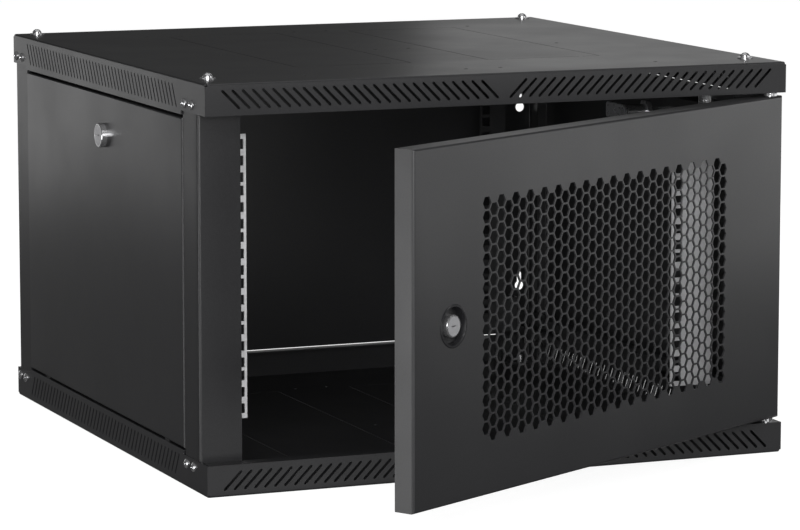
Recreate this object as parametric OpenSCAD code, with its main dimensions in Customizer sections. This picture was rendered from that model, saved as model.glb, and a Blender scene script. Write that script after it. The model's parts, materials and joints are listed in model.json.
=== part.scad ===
// Wall-mount 19-inch network cabinet: four posts between a roof pan and a base pan,
// removable locking side panels, adjustable rack rails and a vented, locking front door.
// Origin: centre of the base underside. +X right, +Y to the back, +Z up. The door faces -Y.

/* [Cabinet] */
// Outside width of the roof and base pans
cabinet_w = 600; // [590:1:620]
// Outside depth of the roof and base pans
cabinet_d = 600; // [560:10:700]
// Height of the rack opening in rack units
rack_units = 6; // [6:1:9]
// Thickness of the folded steel sheet
sheet = 1.5; // [1.2:0.1:2]
// Outer radius of the folds in the posts and door
bend_r = 3; // [2.5:0.5:4]

/* [Roof and base pans] */
// Outer radius of the folds in the pans
pan_bend_r = 2; // [2:0.5:3]
// Height of the front and rear flanges of a pan
pan_flange = 30; // [30:1:34]
// Height of the side flanges of a pan between the posts
side_flange = 34; // [34:0.5:36]
// Width of the lip folded in along the front flange
front_lip = 13.5; // [13:0.5:14]
// Width of the lips folded in along the side and rear flanges
side_lip = 12.5; // [10:0.5:12.5]
// Half length of the rear lip
rear_lip_half = 239; // [200:1:245]
// Width of each cable-entry knockout
knockout_w = 119; // [80:1:130]
// Length of each cable-entry knockout
knockout_l = 368; // [200:1:400]
// Distance from the centre plane to the middle of a knockout
knockout_x = 101; // [90:1:110]
// Width of the seam around a knockout
knockout_seam = 1; // [0.8:0.1:1.5]
// Radius of the small fan and rivet holes beside the knockouts
dot_r = 2.2; // [1.5:0.1:3]

/* [Vent slots] */
// Length of a vent slot from end to end
slot_l = 25; // [18:1:26]
// Width of a vent slot
slot_w = 2.7; // [1.5:0.1:4]
// Distance between neighbouring slots
slot_pitch = 10; // [9:0.5:12]
// Number of slots in each half of a front flange
front_slots = 27; // [10:1:27]
// Number of slots in a side flange
side_slots = 47; // [10:1:47]
// Lean of the front slots from the vertical
front_slant = 45; // [30:1:50]
// Lean of the side slots from the vertical
side_slant = 30; // [0:1:35]

/* [Posts] */
// Width of a post across its front or rear face
post_face = 42; // [40:1:44]
// Depth of a post along the side of the cabinet
post_side = 40; // [38:1:42]
// Set-back of the front posts, which makes room for the door
front_setback = 25; // [25:0.5:26]
// Set-back of the rear posts from the rear flanges
rear_setback = 3; // [3:0.5:4]
// Radius of the round end of a wall keyhole
keyhole_r = 5.25; // [4.5:0.25:5.5]
// Half width of the narrow end of a wall keyhole
keyhole_slot_r = 2.75; // [2:0.25:3]

/* [Door] */
// Opening angle of the door
door_open = 30; // [0:1:180]
// Thickness of the folded door
door_t = 21; // [20:0.5:21]
// Gap between the edges of the closed door and the sides of the cabinet
door_side_gap = 3; // [2:0.5:4]
// Distance of the hinge axis from the door's hinge edge and front face
hinge_inset = 9; // [8.5:0.5:9]
// Distance across the flats of a hexagonal vent hole
hex_flats = 11; // [8:0.5:11.5]
// Centre distance of neighbouring vent holes
hex_pitch = 12.6; // [12.4:0.1:13]
// Number of columns of vent holes
hex_columns = 36; // [8:2:36]
// Number of vent holes in a column
hex_rows = 17; // [5:1:17]

/* [Rack rails] */
// Width of a front rail across its drilled face
rail_w = 46; // [44:1:46]
// Depth of a front rail along the side of the cabinet
rail_d = 40; // [36:1:44]
// Width of a rear rail across its drilled face
rear_rail_w = 30; // [28:1:34]
// Depth of a rear rail's side flange behind its drilled face
rear_rail_d = 13; // [10:1:14]
// Thickness of a rail
rail_t = 2; // [1.5:0.1:2.2]
// Side of the square cage-nut holes
rack_hole = 9.5; // [9:0.1:9.5]
// Distance between the two columns of rack holes
rack_hole_span = 465.1; // [465.1:0.1:465.9]
// Place of the front rails' drilled face, from the centre
front_rail_y = -205; // [-230:1:-150]
// Place of the rear rails' drilled face, from the centre
rear_rail_y = 270; // [200:1:271]

/* [Locks] */
// Radius of the side lock's head
side_lock_r = 12; // [11:0.5:13]
// Radius of the door lock's head
door_lock_r = 10.1; // [9.6:0.1:12]
// Height of a lock head above its seat
lock_head = 6; // [4:0.5:7]
// Radius of the recess around the door lock
cup_r = 17; // [16:0.5:18]
// Depth of the recess around the door lock
cup_depth = 5.5; // [4:0.5:6]
// Length of a cam from its axis to its tip
cam_l = 40; // [38:0.5:42]
// Width of a cam
cam_w = 16; // [14:0.5:18]

/* [Hidden] */
$fn = 48;
eps = 0.5;                        // overlap that lets a cutter pass clear of a face
weld = 0.2;                       // overlap that joins two shapes of one piece

// Outside sizes
unit_h = 44.45;                   // one rack unit
ends_h = 119.3;                   // height taken up above and below the rack opening
cabinet_h = ends_h + rack_units * unit_h;
half_w = cabinet_w / 2;
half_d = cabinet_d / 2;
inner_x = half_w - sheet;         // inner face of the side flanges

// Posts
post_x = inner_x;                 // outer side face of a post
post_y0 = -half_d + front_setback;
post_y1 = half_d - rear_setback;
post_lip = 12;                    // lip on a post's inner edge
post_side_lip = 10;               // lip on a post's edge next to the side panel
post_h = cabinet_h - 2 * sheet;
tab_t = 3;                        // welded plates at a post's ends
tab_inset = 2;
corner_bolt_x = half_w - 20;
front_bolt_y = post_y0 + 23;
rear_bolt_y = post_y1 - 16;
bolt_r = 3;
bolt_clear = 0.3;
bolt_end = 4;                     // how far the corner bolts stand past the post's end plate
keyhole_x = half_w - 15.5;
keyhole_z = [85, cabinet_h - 100];

// Screws that hold the side flanges to the posts, in pairs
screw_z = 22.5;                   // height above the base, and depth below the roof
screw_half = 10;                  // half the distance between the screws of a pair
front_screw_y = -half_d + 48;
rear_screw_y = half_d - 19;
screw_r = 2.5;
screw_clear = 0.25;
screw_head_r = 4.6;
screw_head_h = 2.6;

// Slots, knockouts and small holes of a pan
front_slot_z = 15;
side_slot_z = 17.5;
slot_mid_gap = 14.7;              // from the centre to the middle of the first front slot
side_slot_mid = 15.4;
knockout_y = 16;
knockout_tab_w = 3;
knockout_tab_y = 40;
dot_columns = [-183, -18, 18, 183];
dot_rows = [-250, -20.5, 209];
relief = 2.5;                     // notch where two folds of a pan meet
riser_y0 = post_y0 + post_side + 2;
riser_y1 = post_y1 - post_side - 2;
riser_l = riser_y1 - riser_y0;
riser_mid = (riser_y0 + riser_y1) / 2;

// Depth bars
bar_h = 26;
bar_d = 13.5;
bar_x = half_w - 28.5;            // inner face of a depth bar
bar_z = side_flange + bar_h / 2 + 0.5;
bar_slot_r = 3.2;
bar_levels = [bar_z, cabinet_h - bar_z];

// Rack rails
bay_z = 58;                       // bottom of the lowest rack unit
rail_h = rack_units * unit_h + 6.3;
rail_z = bay_z - 3.15;
rail_mid_z = rail_z + rail_h / 2;
rear_foot_z = rail_h / 2 - 12;    // height above and below the rail's middle where its feet begin
rail_nut_t = 3.6;
rail_side_gap = 0.2;
rail_x = bar_x - rail_side_gap;   // outer face of a rail
rack_hole_steps = [6.35, 22.225, 38.1];
rail_bolt_y = 20;                 // from a front rail's drilled face to its bolts
rear_rail_bolt_y = 11;
rear_foot_d = 22;                 // depth of a rear rail's feet
rail_tab_h = 19.2;                // height of the tabs that carry the bolts
rail_tab_w = 24;
rail_bolt_r = 2.9;
front_rail_travel = [-35, 100];
rear_rail_travel = [-120, 0];

// M6 nuts and washers, and the earthing studs
nut_m6_r = 5.77;                  // to the corners
nut_m6_t = 5;
washer_m6_r = 6.2;
earth_place = [-240, 250, sheet];
earth_r = 3;
earth_l = 18;

// Side panels
panel_t = 1.2;
panel_d = 12;
panel_r = 2;
panel_gap = 1.5;
panel_x = half_w - 0.5;           // outer face of a panel
panel_y0 = post_y0 + post_side + panel_gap;
panel_y1 = post_y1 - post_side - panel_gap;
panel_z0 = side_flange + panel_gap;
panel_z1 = cabinet_h - side_flange - 3;
panel_w = panel_z1 - panel_z0;
panel_l = panel_y1 - panel_y0;
panel_mid_y = (panel_y0 + panel_y1) / 2;
panel_mid_z = (panel_z0 + panel_z1) / 2;
hook_w = 12;
hook_drop = 6;
hook_x = 2;
hook_hole = 7;                    // width of the slots in the base pan's lips for the hooks
hook_y = 190;                     // from the middle of the panel
side_lock_z = cabinet_h - 77;
side_reach = 28.8;                // from a side lock's seat to its cam

// Rear panel
rear_panel_w = 540;
rear_panel_gap = 1.2;
rear_panel_z0 = pan_flange + rear_panel_gap;
rear_panel_h = cabinet_h - 2 * rear_panel_z0;
rear_screw_x = 263;
rear_screw_inset = 19;

// Door, drawn closed and then swung open
door_w = cabinet_w - 2 * door_side_gap;
door_z0 = pan_flange + 4;
door_z1 = cabinet_h - pan_flange - 3.5;
door_h = door_z1 - door_z0;
door_mid_z = (door_z0 + door_z1) / 2;
door_lip = 11;
hinge_x = door_w / 2 - hinge_inset;
hinge_y = -half_d + hinge_inset;
hex_column_step = hex_pitch * sqrt(3) / 2;
grille_w = (hex_columns + 1) * hex_column_step;
grille_h = (hex_rows + 1) * hex_pitch;
grille_z = door_mid_z - 1;
seam_overlap = 2;
door_lock_x = door_w / 2 - 537;
door_lock_z = cabinet_h / 2 - 0.4;
door_reach = 32.5;                // from the door lock's seat to its cam
cup_wall = 1.2;
cup_rim = 1.2;

// Hinge pins
pin_r = 4;
run_clear = 0.06;                 // radial clearance of the turning fits
hole_clear = 0.15;
pin_in = 8;                       // how far a pin's tip stands past the pan's lip
pin_inner = 40;                   // from the door's edge to the pin's pull handle
pin_handle = 20;
collar_r = 6;
collar_t = 3;
collar_z = door_z1 - sheet - 0.3 - collar_t;
upper_tip = cabinet_h - pan_flange + pin_in;
lower_tip = door_z0 + door_z1 - pan_flange + pin_in;
bracket_drop = 27;                // from the door's edge to the pin bracket
bracket_t = 2;
socket_t = 2.5;
washer_r = 6.5;
upper_washer_t = 2.5;
washer_gap = 0.1;                 // play between the lower washer and the base pan
spring_wire = 0.5;
spring_r = 5.1;
spring_turns = 7;

// Lock parts
stem_r = 8;
lock_core_r = 5;
core_head_h = 1.7;
core_rim = 1.5;
nut_flats_r = 12.7;
lock_nut_t = 5;
cam_t = 2;
cam_square = 6;
key_slot = [6.5, 1.2];
cam_screw_r = 2;

// Colours of the finished metal
paint = [0.13, 0.13, 0.135];
paint_dark = [0.09, 0.09, 0.095];
zinc = [0.72, 0.72, 0.73];
chrome = [0.85, 0.85, 0.86];
brass = [0.75, 0.6, 0.3];

// ---- Shared shapes ----

// Rectangle standing on y = 0 with its two lower corners rounded.
module bowl_section(w, h, r) {
  translate([-w / 2, r]) square([w, h - r]);
  translate([-w / 2 + r, 0]) square([w - 2 * r, h]);
  for (side = [-1, 1]) translate([side * (w / 2 - r), r]) circle(r);
}

// Block standing on z = 0 with its four lower edges rounded.
module bowl_block(w, d, h, r) {
  intersection() {
    rotate([90, 0, 0]) linear_extrude(d, center = true) bowl_section(w, h, r);
    rotate([90, 0, 90]) linear_extrude(w, center = true) bowl_section(d, h, r);
  }
}

// Folded tray: its face is at z = 0 and its flanges stand up.
module tray(w, d, h, r, t) {
  difference() {
    bowl_block(w, d, h, r);
    translate([0, 0, t]) bowl_block(w - 2 * t, d - 2 * t, h, r - t);
  }
}

// Long narrow slot with eased ends, standing along y.
module vent_slot(l, w) {
  a = w / 2;
  b = l / 2;
  ease = w / 4;
  polygon([
    [-a, -b + 2 * ease], [-ease, -b], [ease, -b], [a, -b + 2 * ease],
    [a, b - 2 * ease], [ease, b], [-ease, b], [-a, b - 2 * ease]
  ]);
}

// Shank with a domed, cross-recessed head that stands up from z = 0.
module cross_screw(shank_r, shank_l, head_r, head_h) {
  recess = head_r * 0.55;
  difference() {
    union() {
      translate([0, 0, -shank_l]) cylinder(r = shank_r, h = shank_l + eps);
      rotate_extrude() domed_section(head_r, head_h);
    }
    for (turn = [0, 90]) rotate([0, 0, turn])
      translate([-recess, -head_r * 0.1, head_h * 0.4]) cube([2 * recess, head_r * 0.2, head_h]);
  }
}

// Half section of a low dome with a short straight edge.
module domed_section(r, h) {
  edge = h * 0.3;
  rise = h - edge;
  dome_r = (r * r + rise * rise) / (2 * rise);
  intersection() {
    translate([0, h - dome_r]) circle(dome_r);
    square([r, h]);
  }
}

// Hexagon nut or ring about z, standing on z = 0.
module hex_nut(corner_r, bore_r, h) {
  difference() {
    cylinder(r = corner_r, h = h, $fn = 6);
    translate([0, 0, -eps]) cylinder(r = bore_r, h = h + 2 * eps);
  }
}

module right_of() {
  mirror([1, 0, 0]) children();
}

// The roof is the base turned upside down about the cabinet's middle height.
module above() {
  translate([0, 0, cabinet_h]) mirror([0, 0, 1]) children();
}

// ---- Roof and base pans ----

module slot_row(count, slant) {
  for (i = [0 : count - 1])
    translate([i * slot_pitch, 0]) rotate([0, 0, slant]) vent_slot(slot_l, slot_w);
}

// Slots of a front flange, which lean outwards on both sides of the middle.
module front_slot_field() {
  for (side = [0, 1]) mirror([side, 0])
    translate([slot_mid_gap, 0]) slot_row(front_slots, -front_slant);
}

module side_slot_field() {
  translate([side_slot_mid - (side_slots - 1) * slot_pitch / 2, 0]) slot_row(side_slots, side_slant);
}

module slotted_front_plate() {
  linear_extrude(sheet) difference() {
    translate([-half_w + pan_bend_r, pan_bend_r])
      square([cabinet_w - 2 * pan_bend_r, pan_flange - pan_bend_r]);
    translate([0, front_slot_z]) mirror([0, 1]) front_slot_field();
  }
}

module slotted_side_plate() {
  linear_extrude(sheet) difference() {
    translate([riser_y0, pan_bend_r]) square([riser_l, side_flange - pan_bend_r]);
    translate([0, side_slot_z]) side_slot_field();
  }
}

// Openings in a pan's front and side flanges that the slotted plates fill.
module flange_windows() {
  inset = pan_bend_r + seam_overlap;
  reach = 3 * sheet;
  translate([-half_w + inset, -half_d - reach, inset])
    cube([cabinet_w - 2 * inset, 2 * reach, pan_flange - sheet - inset - seam_overlap]);
  for (side = [-1, 1])
    translate([side * half_w - reach, riser_y0 + seam_overlap, inset])
      cube([2 * reach, riser_l - 2 * seam_overlap, pan_flange]);
}

module pan_plate_cuts() {
  span = knockout_w + 2 * knockout_seam;
  run = knockout_l + 2 * knockout_seam;
  for (side = [-1, 1]) {
    translate([side * knockout_x - span / 2, knockout_y - run / 2, -eps])
      cube([span, run, sheet + 2 * eps]);
    for (y = [front_bolt_y, rear_bolt_y])
      translate([side * corner_bolt_x, y, -eps]) cylinder(r = bolt_r + bolt_clear, h = sheet + 2 * eps);
  }
  for (x = dot_columns, y = dot_rows)
    translate([x, y, -eps]) cylinder(r = dot_r, h = sheet + 2 * eps, $fn = 16);
}

module pan_flange_cuts() {
  for (side = [-1, 1]) {
    for (y = [front_screw_y, rear_screw_y], step = [-screw_half, screw_half])
      translate([side * half_w, y + step, screw_z]) rotate([0, 90, 0])
        cylinder(r = screw_r + screw_clear, h = 4 * sheet, center = true);
    for (end = [-1, 1])
      translate([side * half_w, end * half_d, 0]) cube([2 * relief, 2 * relief, 2 * relief], center = true);
  }
  translate([hinge_x, hinge_y, pan_flange - sheet - eps])
    cylinder(r = pin_r + hole_clear, h = sheet + 2 * eps);
  for (side = [-1, 1], end = [-1, 1])
    translate([side * (inner_x - hook_hole / 2 - 1), panel_mid_y + end * hook_y, side_flange])
      cube([hook_hole, hook_w + 3, 4 * sheet], center = true);
}

module pan_lips() {
  z = pan_flange - sheet;
  translate([-inner_x + 1, -half_d, z]) cube([2 * inner_x - 2, front_lip + sheet, sheet]);
  translate([-rear_lip_half, half_d - side_lip - sheet, z]) cube([2 * rear_lip_half, side_lip + sheet, sheet]);
  for (side = [-1, 1])
    translate([side * (half_w - side_lip / 2 - sheet / 2), riser_mid, side_flange - sheet / 2])
      cube([side_lip + sheet, riser_l, sheet], center = true);
}

module pan() {
  difference() {
    union() {
      difference() {
        tray(cabinet_w, cabinet_d, pan_flange, pan_bend_r, sheet);
        flange_windows();
        pan_plate_cuts();
      }
      translate([0, -half_d + sheet, 0]) rotate([90, 0, 0]) slotted_front_plate();
      for (side = [0, 1]) mirror([side, 0, 0])
        translate([half_w - sheet, 0, 0]) rotate([90, 0, 90]) slotted_side_plate();
      pan_lips();
    }
    pan_flange_cuts();
  }
}

// Two knockout plates held in their openings by small bridges at the ends.
module knockouts() {
  for (side = [-1, 1]) translate([side * knockout_x, knockout_y, 0]) {
    translate([-knockout_w / 2, -knockout_l / 2, 0]) cube([knockout_w, knockout_l, sheet]);
    for (end = [-1, 1], x = [-knockout_tab_y, knockout_tab_y])
      translate([x - knockout_tab_w / 2, end * (knockout_l + knockout_seam) / 2 - knockout_seam / 2, 0])
        cube([knockout_tab_w, knockout_seam, sheet]);
  }
}

module base_pan() { color(paint) pan(); }
module roof_pan() { color(paint) above() pan(); }
module base_knockouts() { color(paint) knockouts(); }
module roof_knockouts() { color(paint) above() knockouts(); }

// ---- Posts ----

// Rectangle from the origin with its first corner rounded.
module corner_block(w, h, r) {
  translate([r, 0]) square([w - r, h]);
  translate([0, r]) square([w, h - r]);
  translate([r, r]) circle(r);
}

// Folded post section: outer corner at the origin, face along x, side along y.
module post_section() {
  difference() {
    corner_block(post_face, post_side, bend_r);
    translate([sheet, sheet]) corner_block(post_face, post_side, bend_r - sheet);
  }
  translate([post_face - sheet, 0]) square([sheet, post_lip]);
  translate([0, post_side - sheet]) square([post_side_lip, sheet]);
}

// End plate of a post, with the hole for the pan's corner bolt.
module post_tab(bolt_y) {
  difference() {
    translate([sheet - weld, sheet - weld, 0])
      cube([post_face - 2 * sheet - tab_inset, post_side - 2 * sheet - tab_inset, tab_t]);
    translate([post_x - corner_bolt_x, bolt_y, -eps]) cylinder(r = bolt_r + bolt_clear / 2, h = tab_t + 2 * eps);
  }
}

// Post in its own corner frame; screw_y and bolt_y run inwards from its face.
module post_body(screw_y, bolt_y) {
  difference() {
    union() {
      linear_extrude(post_h) post_section();
      post_tab(bolt_y);
      translate([0, 0, post_h - tab_t]) post_tab(bolt_y);
    }
    for (z = [screw_z - sheet, post_h - screw_z + sheet], step = [-screw_half, screw_half])
      translate([0, screw_y + step, z]) rotate([0, 90, 0])
        cylinder(r = screw_r + screw_clear / 2, h = 4 * sheet, center = true);
  }
}

module front_post() {
  translate([-post_x, post_y0, sheet])
    post_body(front_screw_y - post_y0, front_bolt_y - post_y0);
}

// Keyhole with its round end below and its narrow end above, cut along y.
module keyhole() {
  rise = 13;
  rotate([90, 0, 0]) {
    cylinder(r = keyhole_r, h = 4 * sheet, center = true);
    translate([0, rise, 0]) cylinder(r = keyhole_slot_r, h = 4 * sheet, center = true);
    translate([-keyhole_slot_r, 0, -2 * sheet]) cube([2 * keyhole_slot_r, rise, 4 * sheet]);
  }
}

module rear_post() {
  difference() {
    translate([-post_x, post_y1, sheet]) mirror([0, 1, 0])
      post_body(post_y1 - rear_screw_y, post_y1 - rear_bolt_y);
    for (z = keyhole_z) translate([-keyhole_x, post_y1, z]) keyhole();
    for (z = rear_screw_heights()) translate([-rear_screw_x, post_y1, z]) rotate([90, 0, 0])
      cylinder(r = screw_r + screw_clear / 2, h = 4 * sheet, center = true);
  }
}

module front_left_post() { color(paint) front_post(); }
module front_right_post() { color(paint) right_of() front_post(); }
module rear_left_post() { color(paint) rear_post(); }
module rear_right_post() { color(paint) right_of() rear_post(); }

// ---- Rear panel ----

function rear_screw_heights() =
  [rear_panel_z0 + rear_screw_inset, cabinet_h / 2, cabinet_h - rear_panel_z0 - rear_screw_inset];

module rear_panel() {
  color(paint) difference() {
    translate([-rear_panel_w / 2, post_y1, rear_panel_z0]) cube([rear_panel_w, sheet, rear_panel_h]);
    for (side = [-1, 1], z = rear_screw_heights())
      translate([side * rear_screw_x, post_y1, z]) rotate([90, 0, 0])
        cylinder(r = screw_r + screw_clear, h = 4 * sheet, center = true);
  }
}

module rear_panel_screws() {
  color(chrome) for (side = [-1, 1], z = rear_screw_heights())
    translate([side * rear_screw_x, post_y1 + sheet, z]) rotate([-90, 0, 0])
      cross_screw(screw_r, 8, screw_head_r, sheet);
}

// ---- Depth bars ----

// Left bar about its own middle height: a channel open to the outside, slotted for the rails.
module depth_bar() {
  y0 = post_y0 + sheet;
  y1 = post_y1 - sheet;
  front_run = front_rail_y + rail_bolt_y;
  rear_run = rear_rail_y + rear_rail_bolt_y;
  end = bar_slot_r + 2;
  difference() {
    translate([-bar_x - bar_d, y0, -bar_h / 2]) cube([bar_d, y1 - y0, bar_h]);
    translate([-bar_x - bar_d - eps, y0 - eps, -bar_h / 2 + sheet])
      cube([bar_d + eps - sheet, y1 - y0 + 2 * eps, bar_h - 2 * sheet]);
    bar_slot(front_run + front_rail_travel[0] - end, front_run + front_rail_travel[1] + end);
    bar_slot(rear_run + rear_rail_travel[0] - end, rear_run + rear_rail_travel[1] + end);
  }
}

module bar_slot(from, to) {
  translate([-bar_x, 0, 0]) rotate([0, 90, 0]) {
    for (y = [from + bar_slot_r, to - bar_slot_r])
      translate([0, y, 0]) cylinder(r = bar_slot_r, h = 4 * sheet, center = true);
    translate([-bar_slot_r, from + bar_slot_r, -2 * sheet])
      cube([2 * bar_slot_r, to - from - 2 * bar_slot_r, 4 * sheet]);
  }
}

module upper_left_bar() { color(paint_dark) translate([0, 0, bar_levels[1]]) depth_bar(); }
module upper_right_bar() { color(paint_dark) right_of() translate([0, 0, bar_levels[1]]) depth_bar(); }
module lower_left_bar() { color(paint_dark) translate([0, 0, bar_levels[0]]) depth_bar(); }
module lower_right_bar() { color(paint_dark) right_of() translate([0, 0, bar_levels[0]]) depth_bar(); }

// ---- Bolts and screws of the frame ----

module corner_places() {
  for (side = [-1, 1], y = [front_bolt_y, rear_bolt_y]) translate([side * corner_bolt_x, y, 0]) children();
}

// Domed flange bolt with a cross recess, standing on z = 0.
module flange_bolt() {
  flange_r = 7.4;
  flange_h = 1.3;
  dome_r = 4.8;
  dome_h = 4.6;
  shank_l = sheet + tab_t + bolt_end;
  cross = [5.2, 1.1, 1.9];
  difference() {
    union() {
      translate([0, 0, -shank_l]) cylinder(r = bolt_r, h = shank_l + eps);
      cylinder(r = flange_r, h = flange_h);
      translate([0, 0, flange_h - weld]) rotate_extrude() domed_section(dome_r, dome_h + weld);
    }
    for (turn = [0, 90]) rotate([0, 0, turn])
      translate([-cross[0] / 2, -cross[1] / 2, flange_h + dome_h - cross[2]])
        cube([cross[0], cross[1], cross[2] + eps]);
  }
}

// Recessed grub bolt whose cross-cut end lies flush with z = 0 and whose shank points up.
module flush_screw() {
  cross = [4.4, 1, 1.2];
  difference() {
    cylinder(r = bolt_r, h = sheet + tab_t + bolt_end);
    for (turn = [0, 90]) rotate([0, 0, turn])
      translate([-cross[0] / 2, -cross[1] / 2, -eps]) cube([cross[0], cross[1], cross[2] + eps]);
  }
}

module roof_bolts() { color(chrome) translate([0, 0, cabinet_h]) corner_places() flange_bolt(); }
module base_bolts() { color(zinc) corner_places() flush_screw(); }

module corner_screws() {
  for (side = [0, 1]) mirror([side, 0, 0])
    for (y = [front_screw_y, rear_screw_y], step = [-screw_half, screw_half])
      translate([half_w, y + step, screw_z]) rotate([0, 90, 0])
        cross_screw(screw_r, 10, screw_head_r, screw_head_h);
}

module roof_corner_screws() { color(chrome) above() corner_screws(); }
module base_corner_screws() { color(chrome) corner_screws(); }

// ---- Earthing stud of the cabinet ----

module earth_stud() { color(brass) translate(earth_place) cylinder(r = earth_r, h = earth_l); }

module earth_nut() {
  washer_t = 1.2;
  color(zinc) translate(earth_place) {
    difference() {
      cylinder(r = washer_m6_r, h = washer_t);
      translate([0, 0, -eps]) cylinder(r = earth_r + screw_clear, h = washer_t + 2 * eps);
    }
    translate([0, 0, washer_t]) hex_nut(nut_m6_r, earth_r + screw_clear, nut_m6_t);
  }
}

// ---- Rack rails ----

// Square cage-nut holes of a left rail whose drilled face is at y = 0.
module rack_holes() {
  for (unit = [0 : rack_units - 1], step = rack_hole_steps)
    translate([-rack_hole_span / 2, 0, bay_z + unit * unit_h + step])
      cube([rack_hole, 6 * rail_t, rack_hole], center = true);
}

module rail_bolt_holes(bolt_y) {
  for (z = bar_levels)
    translate([-rail_x, bolt_y, z]) rotate([0, 90, 0])
      cylinder(r = rail_bolt_r + screw_clear, h = 6 * rail_t, center = true);
}

// Left front rail: an angle whose side reaches up and down to the depth bars.
module front_rail() {
  difference() {
    union() {
      translate([-rail_x, 0, rail_z]) cube([rail_w, rail_t, rail_h]);
      translate([-rail_x, 0, rail_z]) cube([rail_t, rail_d, rail_h]);
      for (z = bar_levels)
        translate([-rail_x + rail_t / 2, rail_bolt_y, (z + rail_mid_z) / 2])
          cube([rail_t, rail_tab_w, abs(z - rail_mid_z) + rail_tab_h], center = true);
    }
    rack_holes();
    rail_bolt_holes(rail_bolt_y);
  }
}

// Left rear rail: a narrow angle with a foot at each end that reaches out to a depth bar.
module rear_rail() {
  edge_x = rail_w - rear_rail_w - rail_x;
  difference() {
    union() {
      translate([edge_x, 0, rail_z]) cube([rear_rail_w, rail_t, rail_h]);
      translate([edge_x, 0, rail_z]) cube([rail_t, rear_rail_d, rail_h]);
      for (z = bar_levels) {
        foot_z = (z + rail_mid_z + sign(z - rail_mid_z) * rear_foot_z) / 2;
        foot_h = abs(z - rail_mid_z) - rear_foot_z + rail_tab_h;
        translate([-rail_x, 0, foot_z - foot_h / 2]) cube([rail_w, rail_t, foot_h]);
        translate([-rail_x, 0, foot_z - foot_h / 2]) cube([rail_t, rear_foot_d, foot_h]);
      }
    }
    rack_holes();
    rail_bolt_holes(rear_rail_bolt_y);
  }
}

// Bolts, washers and nuts that clamp a rail to its two depth bars.
module rail_bolts(bolt_y) {
  head_r = 5.6;
  head_t = 3.4;
  washer_t = 1;
  bolt_tail = 3;
  grip = rail_t + rail_side_gap + sheet;
  for (z = bar_levels) translate([-rail_x + rail_t, bolt_y, z]) rotate([0, -90, 0]) {
    translate([0, 0, -head_t]) cylinder(r = head_r, h = head_t);
    translate([0, 0, -weld]) cylinder(r = rail_bolt_r, h = grip + washer_t + rail_nut_t + bolt_tail);
    translate([0, 0, grip + 0.1]) cylinder(r = washer_m6_r, h = washer_t);
    translate([0, 0, grip + washer_t]) cylinder(r = nut_m6_r, h = rail_nut_t, $fn = 6);
  }
}

module at_front_rail() { translate([0, front_rail_y, 0]) children(); }
module at_rear_rail() { translate([0, rear_rail_y, 0]) children(); }

module front_left_rail() { color(zinc) at_front_rail() front_rail(); }
module front_left_rail_bolts() { color(chrome) at_front_rail() rail_bolts(rail_bolt_y); }
module front_right_rail() { color(zinc) right_of() at_front_rail() front_rail(); }
module front_right_rail_bolts() { color(chrome) right_of() at_front_rail() rail_bolts(rail_bolt_y); }
module rear_left_rail() { color(paint_dark) at_rear_rail() rear_rail(); }
module rear_left_rail_bolts() { color(chrome) at_rear_rail() rail_bolts(rear_rail_bolt_y); }
module rear_right_rail() { color(paint_dark) right_of() at_rear_rail() rear_rail(); }
module rear_right_rail_bolts() { color(chrome) right_of() at_rear_rail() rail_bolts(rear_rail_bolt_y); }

// ---- Locks, drawn about z: seat at z = 0, key side up ----

module lock_body(head_r, reach) {
  stem_l = reach - 1.3;
  ease = 0.8;
  rotate_extrude() polygon([
    [lock_core_r + run_clear, -stem_l], [stem_r, -stem_l], [stem_r, 0], [head_r, 0],
    [head_r, lock_head - ease], [head_r - ease, lock_head], [head_r - core_rim, lock_head],
    [head_r - core_rim, lock_head - core_head_h], [lock_core_r + run_clear, lock_head - core_head_h]
  ]);
}

module lock_core(head_r, reach) {
  face = lock_head - 0.1;
  under = lock_head - core_head_h + 0.1;
  difference() {
    union() {
      translate([0, 0, under]) cylinder(r = head_r - core_rim - run_clear, h = face - under);
      translate([0, 0, -reach]) cylinder(r = lock_core_r, h = reach + under + 0.2);
      translate([-cam_square / 2, -cam_square / 2, -reach - cam_t]) cube([cam_square, cam_square, cam_t + eps]);
    }
    translate([-key_slot[0] / 2, -key_slot[1] / 2, face - 3]) cube([key_slot[0], key_slot[1], 4]);
    translate([0, 0, -reach - cam_t - eps]) cylinder(r = cam_screw_r + 0.1, h = 9);
  }
}

// Flat cam that points along +x.
module lock_cam(reach) {
  hole = cam_square + 0.2;
  round_r = cam_w / 2;
  translate([0, 0, -reach - cam_t]) linear_extrude(cam_t) difference() {
    union() {
      circle(round_r);
      translate([0, -round_r]) square([cam_l - 3, cam_w]);
      translate([cam_l - 3.2, -round_r + 3]) square([3.2, cam_w - 6]);
      for (side = [-1, 1]) translate([cam_l - 3, side * (round_r - 3)]) circle(3);
    }
    square(hole, center = true);
  }
}

module cam_screw(reach) {
  translate([0, 0, -reach - cam_t]) {
    translate([0, 0, -3]) cylinder(r = 4.6, h = 3, $fn = 6);
    translate([0, 0, -0.2]) cylinder(r = cam_screw_r, h = 7);
  }
}

module lock_nut(wall) {
  translate([0, 0, -wall - lock_nut_t]) hex_nut(nut_flats_r, stem_r + 0.1, lock_nut_t);
}

// ---- Side panels ----

module left_panel_body() {
  difference() {
    union() {
      translate([-panel_x, panel_mid_y, panel_mid_z]) rotate([0, 90, 0])
        tray(panel_w, panel_l, panel_d, panel_r, panel_t);
      for (end = [-1, 1])
        translate([-panel_x + hook_x, panel_mid_y + end * hook_y - hook_w / 2, panel_z0 - hook_drop])
          cube([panel_t, hook_w, hook_drop + panel_t]);
    }
    translate([-panel_x - eps, 0, side_lock_z]) rotate([0, 90, 0])
      cylinder(r = stem_r + 0.2, h = panel_t + 2 * eps);
  }
}

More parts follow.
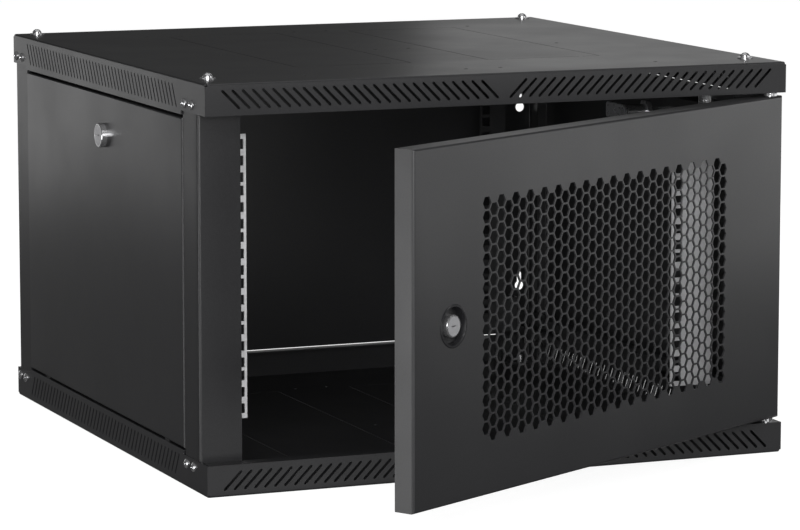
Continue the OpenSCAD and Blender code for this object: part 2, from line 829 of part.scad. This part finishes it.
// Places a lock on the left panel: key side to -X, cam pointing to the back at rest.
module on_left_panel() {
  translate([-panel_x, 0, side_lock_z]) rotate([0, -90, 0]) rotate([0, 0, 90]) children();
}

module left_side_panel() { color(paint) left_panel_body(); }
module left_lock_body() { color(chrome) on_left_panel() lock_body(side_lock_r, side_reach); }
module left_lock_nut() { color(zinc) on_left_panel() lock_nut(panel_t); }
module left_lock_core() { color(chrome) on_left_panel() lock_core(side_lock_r, side_reach); }
module left_lock_cam() { color(zinc) on_left_panel() lock_cam(side_reach); }
module left_cam_screw() { color(zinc) on_left_panel() cam_screw(side_reach); }
module right_side_panel() { color(paint) right_of() left_panel_body(); }
module right_lock_body() { color(chrome) right_of() on_left_panel() lock_body(side_lock_r, side_reach); }
module right_lock_nut() { color(zinc) right_of() on_left_panel() lock_nut(panel_t); }
module right_lock_core() { color(chrome) right_of() on_left_panel() lock_core(side_lock_r, side_reach); }
module right_lock_cam() { color(zinc) right_of() on_left_panel() lock_cam(side_reach); }
module right_cam_screw() { color(zinc) right_of() on_left_panel() cam_screw(side_reach); }

// ---- Door ----

// Swings what is drawn on the closed door to the opening angle.
module on_door() {
  translate([hinge_x, hinge_y, 0]) rotate([0, 0, door_open]) translate([-hinge_x, -hinge_y, 0]) children();
}

// Flat face of the door with its vent holes and the hole for the lock recess.
module grille_face() {
  hole_r = hex_flats / sqrt(3);
  difference() {
    translate([-door_w / 2 + bend_r, door_z0 + bend_r]) square([door_w - 2 * bend_r, door_h - 2 * bend_r]);
    for (i = [0 : hex_columns - 1], j = [0 : hex_rows - 1])
      translate([
        (i - (hex_columns - 1) / 2) * hex_column_step,
        grille_z + (j - (hex_rows - 1) / 2 + (i % 2 == 0 ? 0.25 : -0.25)) * hex_pitch
      ]) circle(hole_r, $fn = 6);
    translate([door_lock_x, door_lock_z]) circle(cup_r + cup_wall);
  }
}

// Flanges of the door and the rim of its face.
module door_tray() {
  inset = bend_r + seam_overlap;
  difference() {
    translate([0, -half_d, door_mid_z]) rotate([-90, 0, 0]) tray(door_w, door_h, door_t, bend_r, sheet);
    translate([-door_w / 2 + inset, -half_d - eps, door_z0 + inset])
      cube([door_w - 2 * inset, sheet + 2 * eps, door_h - 2 * inset]);
  }
}

// Lip folded in around the back of the door.
module door_back_lip() {
  difference() {
    translate([-door_w / 2, -half_d + door_t - sheet, door_z0]) cube([door_w, sheet, door_h]);
    translate([-door_w / 2 + door_lip, -half_d + door_t - sheet - eps, door_z0 + door_lip])
      cube([door_w - 2 * door_lip, sheet + 2 * eps, door_h - 2 * door_lip]);
    translate([door_w / 2 - sheet - 2 * door_lip, -half_d + door_t - sheet - eps, door_z0 + sheet])
      cube([2 * door_lip, sheet + 2 * eps, door_h - 2 * sheet]);
  }
}

module door_shell() {
  color(paint) on_door() {
    difference() {
      union() {
        door_tray();
        door_back_lip();
      }
      translate([hinge_x, hinge_y, door_z0 - eps]) cylinder(r = pin_r + hole_clear, h = door_h + 2 * eps);
    }
    translate([0, -half_d + sheet, 0]) rotate([90, 0, 0]) linear_extrude(sheet) grille_face();
  }
}

// ---- Hinge pins ----

// Repeats what is drawn for the upper pin at the lower edge of the door.
module at_bottom() {
  translate([0, 0, door_z0 + door_z1]) mirror([0, 0, 1]) children();
}

// Angle bracket inside the door's hinge edge that guides a pin below its spring.
module pin_bracket() {
  z = door_z1 - bracket_drop;
  y = -half_d + bend_r + eps;
  depth = door_t - bend_r - 2 * sheet - eps;
  flange_h = 16;
  shelf = 10;
  difference() {
    union() {
      translate([hinge_x - shelf, y, z - bracket_t]) cube([shelf + hinge_inset - sheet, depth, bracket_t]);
      translate([door_w / 2 - sheet - bracket_t, y, z - flange_h]) cube([bracket_t, depth, flange_h]);
    }
    translate([hinge_x, hinge_y, z - bracket_t - eps]) cylinder(r = pin_r + run_clear, h = bracket_t + 2 * eps);
  }
}

module door_hinge_brackets() {
  color(zinc) on_door() {
    pin_bracket();
    at_bottom() pin_bracket();
  }
}

// Pin with a collar that its spring pushes up against the door's edge, and a pull handle.
module hinge_pin(tip_z) {
  foot_z = door_z1 - pin_inner;
  tip_l = 1;
  handle_r = pin_r - 0.8;
  translate([hinge_x, hinge_y, 0]) {
    translate([0, 0, foot_z]) cylinder(r = pin_r, h = tip_z - foot_z - tip_l);
    translate([0, 0, tip_z - 2 * tip_l]) cylinder(r = pin_r - 0.6, h = 2 * tip_l);
    translate([0, 0, collar_z]) cylinder(r = collar_r, h = collar_t);
    translate([0, 0, foot_z]) rotate([0, -90, 0]) cylinder(r = handle_r, h = pin_handle);
    translate([-pin_handle, 0, foot_z]) sphere(r = handle_r);
    translate([0, 0, foot_z]) sphere(r = pin_r);
  }
}

module upper_hinge_pin() { color(zinc) on_door() hinge_pin(upper_tip); }
module lower_hinge_pin() { color(zinc) on_door() at_bottom() hinge_pin(lower_tip); }

// Helical spring about z from z0 to z1.
module coil_spring(z0, z1) {
  sides = 8;
  steps = 14;
  rings = spring_turns * steps;
  lift = (z1 - z0 - 2 * spring_wire) / rings;
  points = [
    for (i = [0 : rings], k = [0 : sides - 1])
      let (turn = 360 * i / steps, around = 360 * k / sides, r = spring_r + spring_wire * cos(around))
      [r * cos(turn), r * sin(turn), z0 + spring_wire + i * lift + spring_wire * sin(around)]
  ];
  walls = [
    for (i = [0 : rings - 1], k = [0 : sides - 1])
      let (next = (k + 1) % sides)
      [i * sides + k, (i + 1) * sides + k, (i + 1) * sides + next, i * sides + next]
  ];
  first = [for (k = [0 : sides - 1]) k];
  last = [for (k = [0 : sides - 1]) rings * sides + sides - 1 - k];
  polyhedron(points = points, faces = concat(walls, [first, last]), convexity = 10);
}

module pin_spring() {
  translate([hinge_x, hinge_y, 0])
    coil_spring(door_z1 - bracket_drop + 0.1, collar_z - 0.1);
}

module upper_hinge_spring() { color(zinc) on_door() pin_spring(); }
module lower_hinge_spring() { color(zinc) on_door() at_bottom() pin_spring(); }

// Washers that space the door from the pans and carry its weight on the lower pin.
module pin_washer(z, h) {
  translate([hinge_x, hinge_y, z]) difference() {
    cylinder(r = washer_r, h = h);
    translate([0, 0, -eps]) cylinder(r = pin_r + hole_clear, h = h + 2 * eps);
  }
}

module door_hinge_washers() {
  color(chrome) on_door() {
    pin_washer(door_z1, upper_washer_t);
    pin_washer(pan_flange + washer_gap, door_z0 - pan_flange - washer_gap);
  }
}

// Thick plates on the pans' front lips in which the pins turn.
module hinge_socket() {
  inner = 12;
  difference() {
    translate([hinge_x - inner, -half_d + sheet, pan_flange - sheet - socket_t])
      cube([inner_x - hinge_x + inner, front_lip - 0.5, socket_t]);
    translate([hinge_x, hinge_y, pan_flange - sheet - socket_t - eps])
      cylinder(r = pin_r + run_clear, h = socket_t + 2 * eps);
  }
}

module hinge_sockets() {
  color(paint_dark) {
    hinge_socket();
    above() hinge_socket();
  }
}

// ---- Earthing stud of the door ----

module door_earth_stud() {
  stud_l = 14;
  color(zinc) on_door() translate([door_w / 2 - 36, -half_d + sheet, door_z0 + 30]) rotate([-90, 0, 0]) {
    cylinder(r = earth_r, h = stud_l);
    translate([0, 0, nut_m6_t]) cylinder(r = nut_m6_r, h = nut_m6_t, $fn = 6);
  }
}

// ---- Door lock ----

// Places a lock in the door's recess: key side to -Y, cam pointing down at rest.
module on_door_lock() {
  on_door() translate([door_lock_x, -half_d + cup_depth, door_lock_z]) rotate([90, 90, 0]) children();
}

// Round recess pressed into the door, with a thin rim on the face.
module door_lock_cup() {
  rim_h = 0.8;
  hole_r = stem_r + 0.2;
  color(paint_dark) on_door_lock() rotate_extrude() polygon([
    [hole_r, -cup_wall], [cup_r + cup_wall, -cup_wall], [cup_r + cup_wall, cup_depth],
    [cup_r + cup_wall + cup_rim, cup_depth], [cup_r + cup_wall + cup_rim, cup_depth + rim_h / 2],
    [cup_r + cup_wall + cup_rim / 2, cup_depth + rim_h], [cup_r + 0.4, cup_depth + rim_h],
    [cup_r, cup_depth], [cup_r - 1.5, 0], [hole_r, 0]
  ]);
}

module door_lock_body() { color(chrome) on_door_lock() lock_body(door_lock_r, door_reach); }
module door_lock_nut() { color(zinc) on_door_lock() lock_nut(cup_wall); }
module door_lock_core() { color(chrome) on_door_lock() rotate([0, 0, 90]) lock_core(door_lock_r, door_reach); }
module door_lock_cam() { color(zinc) on_door_lock() lock_cam(door_reach); }
module door_cam_screw() { color(zinc) on_door_lock() cam_screw(door_reach); }

// ---- Every node ----

base_pan();
base_knockouts();
roof_pan();
roof_knockouts();
front_left_post();
front_right_post();
rear_left_post();
rear_right_post();
rear_panel();
rear_panel_screws();
upper_left_bar();
upper_right_bar();
lower_left_bar();
lower_right_bar();
roof_bolts();
base_bolts();
roof_corner_screws();
base_corner_screws();
earth_stud();
earth_nut();
hinge_sockets();
front_left_rail();
front_left_rail_bolts();
front_right_rail();
front_right_rail_bolts();
rear_left_rail();
rear_left_rail_bolts();
rear_right_rail();
rear_right_rail_bolts();
left_side_panel();
left_lock_body();
left_lock_nut();
left_lock_core();
left_lock_cam();
left_cam_screw();
right_side_panel();
right_lock_body();
right_lock_nut();
right_lock_core();
right_lock_cam();
right_cam_screw();
door_shell();
door_hinge_brackets();
door_hinge_washers();
door_earth_stud();
door_lock_cup();
door_lock_body();
door_lock_nut();
door_lock_core();
door_lock_cam();
door_cam_screw();
upper_hinge_pin();
upper_hinge_spring();
lower_hinge_pin();
lower_hinge_spring();
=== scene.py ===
"""Looks of the wall-mount network cabinet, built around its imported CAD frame. Lengths are in metres."""
import json
import math

import bpy
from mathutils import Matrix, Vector

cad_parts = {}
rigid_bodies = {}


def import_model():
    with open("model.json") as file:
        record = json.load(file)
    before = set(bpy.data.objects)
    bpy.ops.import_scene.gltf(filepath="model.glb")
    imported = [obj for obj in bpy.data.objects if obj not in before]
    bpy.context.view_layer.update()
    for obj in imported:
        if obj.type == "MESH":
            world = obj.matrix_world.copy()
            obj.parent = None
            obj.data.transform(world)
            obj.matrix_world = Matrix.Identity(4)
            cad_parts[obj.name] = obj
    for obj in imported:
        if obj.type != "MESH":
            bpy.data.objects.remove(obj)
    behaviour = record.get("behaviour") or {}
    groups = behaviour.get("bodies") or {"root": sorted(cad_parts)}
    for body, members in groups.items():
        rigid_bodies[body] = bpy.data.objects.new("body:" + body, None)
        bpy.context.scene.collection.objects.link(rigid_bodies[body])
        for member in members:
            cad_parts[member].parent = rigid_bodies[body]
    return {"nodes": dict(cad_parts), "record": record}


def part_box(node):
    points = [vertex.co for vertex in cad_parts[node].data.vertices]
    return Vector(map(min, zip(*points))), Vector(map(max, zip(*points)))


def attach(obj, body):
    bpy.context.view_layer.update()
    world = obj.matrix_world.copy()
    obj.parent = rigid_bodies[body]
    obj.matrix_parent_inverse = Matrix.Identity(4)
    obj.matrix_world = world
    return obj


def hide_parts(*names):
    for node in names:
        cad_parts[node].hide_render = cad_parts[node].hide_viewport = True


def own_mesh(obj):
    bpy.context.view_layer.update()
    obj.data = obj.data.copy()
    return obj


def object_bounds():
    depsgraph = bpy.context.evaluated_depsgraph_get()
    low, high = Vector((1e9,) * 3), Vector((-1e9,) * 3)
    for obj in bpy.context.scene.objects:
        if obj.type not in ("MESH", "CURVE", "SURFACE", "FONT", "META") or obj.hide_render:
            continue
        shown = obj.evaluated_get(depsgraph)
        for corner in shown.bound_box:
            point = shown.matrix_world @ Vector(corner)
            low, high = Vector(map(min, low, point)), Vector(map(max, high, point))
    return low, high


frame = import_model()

CAD_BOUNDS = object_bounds()
NODES = frame["nodes"]
MM = 0.001

# ---- Camera ----

CAMERA_AZIMUTH = -22.48
CAMERA_ELEVATION = 8.18
CAMERA_DISTANCE = 3.995
CAMERA_LENS = 174.8
CAMERA_SENSOR = 36.0
CAMERA_CLIP = (0.05, 60.0)
# What the camera looks at, from the cabinet's middle
AIM_OFFSET = Vector((0.0237, 0.0150, -0.0335))


def direction(azimuth, elevation):
    """Unit vector from the cabinet towards a viewer; azimuth 0 is the front."""
    a, e = math.radians(azimuth), math.radians(elevation)
    return Vector((math.sin(a) * math.cos(e), -math.cos(a) * math.cos(e), math.sin(e)))


def cabinet_middle():
    low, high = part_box("base_pan")[0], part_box("roof_pan")[1]
    return (low + high) / 2


def add_camera():
    data = bpy.data.cameras.new("camera")
    data.lens = CAMERA_LENS
    data.sensor_width = CAMERA_SENSOR
    data.clip_start, data.clip_end = CAMERA_CLIP
    camera = bpy.data.objects.new("camera", data)
    bpy.context.scene.collection.objects.link(camera)
    back = direction(CAMERA_AZIMUTH, CAMERA_ELEVATION)
    camera.location = cabinet_middle() + AIM_OFFSET + back * CAMERA_DISTANCE
    camera.rotation_mode = "QUATERNION"
    camera.rotation_quaternion = back.to_track_quat("Z", "Y")
    bpy.context.scene.camera = camera


# ---- Studio ----

WHITE = (1.0, 1.0, 1.0, 1.0)
FLOOR_SIZE = 60.0
FLOOR_TONE = (0.3, 0.3, 0.3, 1.0)
FLOOR_ROUGHNESS = 0.9
# The floor's own glow keeps it nearly white, with only a faint shadow
FLOOR_GLOW = 0.85
# Brightness of the white surroundings: seen by the camera, lighting matt surfaces, mirrored in glossy ones
SEEN_STRENGTH = 1.0
FILL_STRENGTH = 0.5
MIRROR_STRENGTH = 0.03

# Upright light panels that face the cabinet: azimuth, distance, width, bottom, top, power in watts.
# Those with a bottom below 0 reach under the floor, which casts no shadow, to light upright faces evenly.
PANELS = {
    "camera_side": (-22, 3.0, 1.2, 0.3, 1.3, 54),
    "key": (-20, 2.0, 1.2, 1.4, 2.4, 20),
    "left_front": (-52, 1.8, 1.2, -0.6, 1.0, 5),
    "left_low": (-78, 1.84, 0.6, -0.4, 0.3, 4),
    "left_rear_low": (-155, 2.0, 1.0, 0.03, 0.5, 1.15),
    "left_rear_floor": (-155, 2.0, 1.0, -0.5, 0.03, 0.12),
    "rear": (170, 2.0, 1.0, 0.5, 1.5, 0.12),
    "rear_right": (142, 2.0, 1.0, 0.5, 1.5, 1.6),
    "rear_low": (168, 2.0, 1.6, -0.9, 0.35, 4),
    "right_rear": (122, 1.8, 1.4, -0.9, 0.35, 4),
    "right_low": (82, 1.7, 1.2, 0.0, 0.5, 2.3),
    "right_front": (50, 1.8, 1.0, 0.5, 1.5, 5),
    "right_front_low": (50, 1.8, 1.0, 0.0, 0.5, 1.2),
    "front_low": (12, 2.0, 1.0, -0.4, 0.5, 2.8),
}
# Height, side and power of the square panel over the cabinet
OVERHEAD = (2.2, 2.4, 10)


def add_light(name, place, facing, width, height, power):
    data = bpy.data.lights.new(name, "AREA")
    data.shape = "RECTANGLE"
    data.size, data.size_y = width, height
    data.energy = power
    light = bpy.data.objects.new(name, data)
    bpy.context.scene.collection.objects.link(light)
    light.location = place
    light.rotation_mode = "QUATERNION"
    light.rotation_quaternion = facing.to_track_quat("Z", "Y")
    light.visible_camera = False


def add_panel(name, azimuth, distance, width, bottom, top, power):
    away = direction(azimuth, 0)
    place = away * distance + Vector((0, 0, (bottom + top) / 2))
    add_light(name, place, away, width, top - bottom, power)


def add_overhead():
    height, side, power = OVERHEAD
    add_light("overhead", Vector((0, 0, height)), Vector((0, 0, 1)), side, side, power)


def add_world():
    """White surroundings that glossy paint hardly mirrors, so that the panels alone shape its sheen."""
    world = bpy.data.worlds.new("studio")
    bpy.context.scene.world = world
    world.use_nodes = True
    nodes, links = world.node_tree.nodes, world.node_tree.links
    nodes.clear()
    path = nodes.new("ShaderNodeLightPath")

    def surroundings(strength):
        node = nodes.new("ShaderNodeBackground")
        node.inputs["Color"].default_value = WHITE
        node.inputs["Strength"].default_value = strength
        return node

    def choose(ray, otherwise, if_ray):
        node = nodes.new("ShaderNodeMixShader")
        links.new(path.outputs[ray], node.inputs[0])
        links.new(otherwise.outputs[0], node.inputs[1])
        links.new(if_ray.outputs[0], node.inputs[2])
        return node

    lighting = choose("Is Glossy Ray", surroundings(FILL_STRENGTH), surroundings(MIRROR_STRENGTH))
    all_rays = choose("Is Camera Ray", lighting, surroundings(SEEN_STRENGTH))
    out = nodes.new("ShaderNodeOutputWorld")
    links.new(all_rays.outputs[0], out.inputs["Surface"])


def add_floor():
    half = FLOOR_SIZE / 2
    z = CAD_BOUNDS[0].z
    corners = [(-half, -half, z), (half, -half, z), (half, half, z), (-half, half, z)]
    mesh = bpy.data.meshes.new("floor")
    mesh.from_pydata(corners, [], [(0, 1, 2, 3)])
    floor = bpy.data.objects.new("floor", mesh)
    bpy.context.scene.collection.objects.link(floor)
    material, shader, _ = new_material("floor")
    shader.inputs["Base Color"].default_value = FLOOR_TONE
    shader.inputs["Roughness"].default_value = FLOOR_ROUGHNESS
    shader.inputs["Specular IOR Level"].default_value = 0.0
    shader.inputs["Emission Color"].default_value = WHITE
    shader.inputs["Emission Strength"].default_value = FLOOR_GLOW
    mesh.materials.append(material)
    floor.visible_glossy = False
    floor.visible_diffuse = False
    floor.visible_shadow = False


# ---- Materials ----

# Scales of the noise, per metre
GRAIN_SCALE = 900.0
MOTTLING_SCALE = 9.0
CLOUD_SCALE = 260.0
POLISH_SCALE = 3120.0
# How deep the grain and the polishing marks are
GRAIN_DEPTH = 0.12 * MM
POLISH_DEPTH = 0.05 * MM
POLISH_BUMP = 0.05
# Part of the noise's range that is stretched over the whole change of tone or gloss
GRAIN_RANGE = (0.35, 0.65)
CLOUD_RANGE = (0.3, 0.7)
# Darkest and lightest speckle, as shares of the paint's tone
SPECKLE = (0.85, 1.2)
# How far the paint's roughness drifts down and up, and the shares of the plating's
PAINT_DRIFT = (0.02, 0.03)
PLATING_DRIFT = (0.8, 1.25)
# Sockets of the colour mix node: its factor, its two colours and its result
MIX_FACTOR, MIX_DARK, MIX_LIGHT, MIX_RESULT = 0, 6, 7, 2


def new_material(name):
    """New node material; returns it, its shader and a maker of linked nodes."""
    material = bpy.data.materials.new(name)
    material.use_nodes = True
    tree = material.node_tree
    shader = tree.nodes["Principled BSDF"]

    def add(kind, settings=None, **inputs):
        node = tree.nodes.new(kind)
        for key, value in (settings or {}).items():
            setattr(node, key, value)
        for key, value in inputs.items():
            socket = node.inputs[key.replace("_", " ")]
            if isinstance(value, bpy.types.NodeSocket):
                tree.links.new(value, socket)
            else:
                socket.default_value = value
        return node

    return material, shader, add


def noise(add, place, scale, detail=2.0, roughness=0.5):
    node = add("ShaderNodeTexNoise", Vector=place, Scale=scale, Detail=detail, Roughness=roughness)
    return node.outputs["Fac"]


def mapped(add, value, source, low, high):
    """Stretches the source part of value's range over low to high."""
    ends = {"From_Min": source[0], "From_Max": source[1], "To_Min": low, "To_Max": high}
    return add("ShaderNodeMapRange", Value=value, **ends).outputs["Result"]


def link(value, socket):
    socket.id_data.links.new(value, socket)


def blend_tone(add, factor, dark, light):
    node = add("ShaderNodeMix", {"data_type": "RGBA"})
    link(factor, node.inputs[MIX_FACTOR])
    node.inputs[MIX_DARK].default_value = (*dark, 1)
    node.inputs[MIX_LIGHT].default_value = (*light, 1)
    return node.outputs[MIX_RESULT]


def powder_coat(name, tone, roughness, bump=0.3):
    """Black polyester powder: fine orange-peel grain, faint mottling of tone and gloss."""
    material, shader, add = new_material(name)
    place = add("ShaderNodeTexCoord").outputs["Object"]
    fine = noise(add, place, GRAIN_SCALE, 3.0, 0.6)
    broad = noise(add, place, MOTTLING_SCALE, 3.0)
    dark, light = ([channel * share for channel in tone] for share in SPECKLE)
    speckle = mapped(add, fine, GRAIN_RANGE, 0, 1)
    gloss = mapped(add, broad, GRAIN_RANGE, roughness - PAINT_DRIFT[0], roughness + PAINT_DRIFT[1])
    relief = add("ShaderNodeBump", Height=fine, Strength=bump, Distance=GRAIN_DEPTH)
    link(blend_tone(add, speckle, dark, light), shader.inputs["Base Color"])
    link(gloss, shader.inputs["Roughness"])
    link(relief.outputs["Normal"], shader.inputs["Normal"])
    return material


def plated(name, tone, roughness, mottling=0.04, metallic=0.9):
    """Plated metal with a faint cloudy change of gloss and fine polishing marks."""
    material, shader, add = new_material(name)
    place = add("ShaderNodeTexCoord").outputs["Object"]
    cloud = noise(add, place, CLOUD_SCALE, 3.0)
    marks = noise(add, place, POLISH_SCALE)
    dark = [channel * (1 - 2 * mottling) for channel in tone]
    cloudiness = mapped(add, cloud, CLOUD_RANGE, 0, 1)
    gloss = mapped(add, cloud, CLOUD_RANGE, roughness * PLATING_DRIFT[0], roughness * PLATING_DRIFT[1])
    relief = add("ShaderNodeBump", Height=marks, Strength=POLISH_BUMP, Distance=POLISH_DEPTH)
    link(blend_tone(add, cloudiness, dark, tone), shader.inputs["Base Color"])
    link(gloss, shader.inputs["Roughness"])
    link(relief.outputs["Normal"], shader.inputs["Normal"])
    shader.inputs["Metallic"].default_value = metallic
    return material


# One maker for each of the record's material slots
MATERIALS = {
    "pan_paint": lambda: powder_coat("pan_paint", (0.016, 0.016, 0.017), 0.32),
    "door_paint": lambda: powder_coat("door_paint", (0.018, 0.018, 0.019), 0.32),
    "panel_paint": lambda: powder_coat("panel_paint", (0.016, 0.016, 0.017), 0.32),
    "frame_paint": lambda: powder_coat("frame_paint", (0.014, 0.014, 0.015), 0.34),
    "dark_steel": lambda: powder_coat("dark_steel", (0.02, 0.02, 0.021), 0.4),
    "lock_recess": lambda: powder_coat("lock_recess", (0.01, 0.01, 0.011), 0.25, bump=0.05),
    "zinc_rail": lambda: plated("zinc_rail", (0.75, 0.75, 0.76), 0.4, 0.06, metallic=0.35),
    "zinc_part": lambda: plated("zinc_part", (0.66, 0.66, 0.68), 0.3),
    "spring_steel": lambda: plated("spring_steel", (0.5, 0.5, 0.51), 0.3),
    "chrome_screw": lambda: plated("chrome_screw", (0.62, 0.62, 0.63), 0.16),
    "lock_chrome": lambda: plated("lock_chrome", (0.62, 0.62, 0.63), 0.18),
    "lock_core": lambda: plated("lock_core", (0.36, 0.36, 0.37), 0.36, 0.02, metallic=0.6),
    "brass": lambda: plated("brass", (0.78, 0.58, 0.26), 0.25),
}


def dress_nodes(made):
    for part in frame["record"]["subparts"]:
        mesh = NODES[part["node"]].data
        mesh.materials.clear()
        mesh.materials.append(made[part["material_slot"]])


# ---- Springs of the hinge pins ----

# Radius of the wire
COIL_WIRE = 0.5 * MM
COIL_TURNS = 7
COIL_STEPS = 48
COIL_SIDES = 12


def coil_mesh(name, low, high):
    """Helical wire as wide and as high as the box from low to high."""
    middle = (low + high) / 2
    radius = (high.x - low.x) / 2 - COIL_WIRE
    rings = COIL_TURNS * COIL_STEPS
    lift = (high.z - low.z - 2 * COIL_WIRE) / rings
    points = []
    for ring in range(rings + 1):
        turn = math.tau * ring / COIL_STEPS
        for side in range(COIL_SIDES):
            around = math.tau * side / COIL_SIDES
            out = radius + COIL_WIRE * math.cos(around)
            z = low.z + COIL_WIRE + ring * lift + COIL_WIRE * math.sin(around)
            points.append((middle.x + out * math.cos(turn), middle.y + out * math.sin(turn), z))
    faces = [tuple(range(COIL_SIDES))]
    for ring in range(rings):
        for side in range(COIL_SIDES):
            here = ring * COIL_SIDES + side
            beside = ring * COIL_SIDES + (side + 1) % COIL_SIDES
            faces.append((here, here + COIL_SIDES, beside + COIL_SIDES, beside))
    faces.append(tuple(reversed(range(rings * COIL_SIDES, (rings + 1) * COIL_SIDES))))
    mesh = bpy.data.meshes.new(name)
    mesh.from_pydata(points, [], faces)
    for face in mesh.polygons[1:-1]:
        face.use_smooth = True
    return mesh


def add_coil(name, joint, spring, material):
    """Round-wire spring that stands for its CAD node and moves with the joint's parent body."""
    low, high = (Vector(corner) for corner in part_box(spring["node"]))
    mesh = coil_mesh(name, low, high)
    mesh.materials.append(material)
    coil = bpy.data.objects.new(name, mesh)
    bpy.context.scene.collection.objects.link(coil)
    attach(coil, joint["parent"])
    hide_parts(spring["node"])
    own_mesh(coil)


def add_coils(material):
    for joint in frame["record"]["behaviour"]["joints"]:
        for spring in joint.get("deforming_nodes", []):
            add_coil(spring["node"].replace("spring", "coil"), joint, spring, material)


# ---- Edges of the CAD pieces ----

FACET_ANGLE = math.radians(25)
WELD_GAP = 0.002 * MM


def smooth_node(node):
    """Joins the facets of round surfaces and keeps the folds between flat ones crisp."""
    for face in node.data.polygons:
        face.use_smooth = True
    weld = node.modifiers.new("weld", "WELD")
    weld.merge_threshold = WELD_GAP
    split = node.modifiers.new("crisp", "EDGE_SPLIT")
    split.split_angle = FACET_ANGLE


# ---- View and assembly ----

LIGHT_BOUNCES = 8


def set_up_view():
    bpy.context.scene.view_settings.view_transform = "Standard"
    bpy.context.scene.cycles.use_denoising = True
    bpy.context.scene.cycles.max_bounces = LIGHT_BOUNCES


add_camera()
add_world()
add_floor()
for panel_name, values in PANELS.items():
    add_panel(panel_name, *values)
add_overhead()
materials = {slot: make() for slot, make in MATERIALS.items()}
dress_nodes(materials)
add_coils(materials["spring_steel"])
for cad_node in NODES.values():
    smooth_node(cad_node)
set_up_view()
